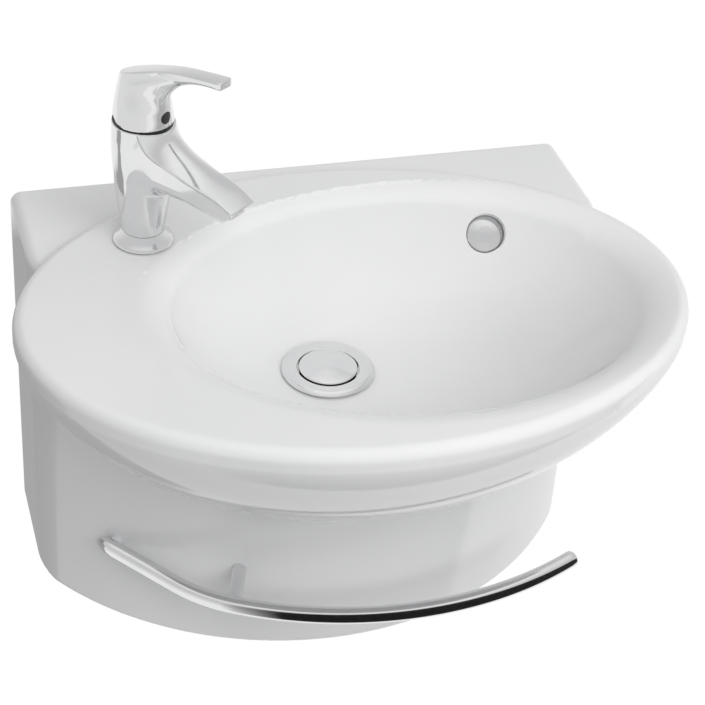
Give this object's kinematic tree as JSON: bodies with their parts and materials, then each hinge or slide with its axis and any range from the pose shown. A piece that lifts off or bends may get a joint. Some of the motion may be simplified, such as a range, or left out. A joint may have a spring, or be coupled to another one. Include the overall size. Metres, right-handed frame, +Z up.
{
  "type": "washbasin",
  "caption": "Wall-hung washbasin: oval bowl on a back block and half-round skirt, lever mixer tap on the left deck, click waste with bottle trap, and a curved towel rail.",
  "frame": {"origin": "on the wall face, midway between the two wall bolt holes", "axes": "+X to the right seen from the front, +Y into the wall, +Z up"},
  "size_m": [0.45, 0.3425, 0.4272],
  "materials": {
    "china": "white glaze, high gloss",
    "chrome": "polished chrome plate",
    "steel": "plain stainless",
    "bare_brass": "machined",
    "copper": "drawn copper tube",
    "white_plastic": "moulded",
    "clear_plastic": "moulded",
    "cartridge_plastic": "moulded",
    "black_plastic": "moulded",
    "seal_rubber": "matt"
  },
  "bodies": {
    "basin": {"aerator_housing": "chrome", "aerator_insert": "cartridge_plastic", "aerator_seal": "seal_rubber", "basin_ceramic": "china", "cartridge_body": "cartridge_plastic", "cartridge_nut": "bare_brass", "click_guide": "white_plastic", "cold_supply_tail": "copper", "dome_cover": "chrome", "horseshoe_rubber": "seal_rubber", "horseshoe_washer": "steel", "hot_supply_tail": "copper", "overflow_clip": "steel", "overflow_cover": "chrome", "plug_spring": "steel", "rail_bar": "chrome", "rail_end_caps": "chrome", "rail_nuts": "steel", "rail_post": "chrome", "rail_seals": "clear_plastic", "rail_studs": "steel", "rail_washers": "steel", "slip_ring": "black_plastic", "tap_base_gasket": "seal_rubber", "tap_base_ring": "chrome", "tap_body": "chrome", "tap_nut": "bare_brass", "tap_stud": "steel", "trap_body": "white_plastic", "trap_cup": "white_plastic", "trap_cup_seal": "seal_rubber", "trap_dip_tube": "white_plastic", "trap_inlet_nut": "white_plastic", "trap_inlet_seal": "seal_rubber", "trap_neck_nut": "white_plastic", "trap_neck_seal": "seal_rubber", "trap_outlet_nut": "white_plastic", "trap_outlet_pipe": "white_plastic", "trap_outlet_seal": "seal_rubber", "wall_bushes": "white_plastic", "waste_backnut": "bare_brass", "waste_bottom_gasket": "seal_rubber", "waste_flange": "chrome", "waste_top_gasket": "seal_rubber", "waste_washer": "white_plastic"},
    "cartridge_turn": {"cartridge_turner": "cartridge_plastic", "cartridge_pin": "steel"},
    "lever": {"cartridge_stem": "bare_brass", "handle": "chrome", "set_screw": "steel", "indicator_plug": "black_plastic"},
    "plug": {"plug_cap": "chrome", "plug_seal": "seal_rubber", "plug_stem": "bare_brass"}
  },
  "joints": [
    {"name": "lever_turn", "type": "hinge", "parent": "basin", "child": "cartridge_turn", "pos_m": [-0.1253, -0.0882, 0.1], "axis": [0, 0, 1], "range_deg": [-50, 50]},
    {"name": "lever_lift", "type": "hinge", "parent": "cartridge_turn", "child": "lever", "pos_m": [-0.1253, -0.0882, 0.182], "axis": [-0.809, -0.5878, 0], "range_deg": [0, 15]},
    {"name": "plug_click", "type": "slide", "parent": "basin", "child": "plug", "axis": [0, 0, 1], "range_m": [-0.0016, 0.008], "deforming": ["plug_spring"]}
  ]
}
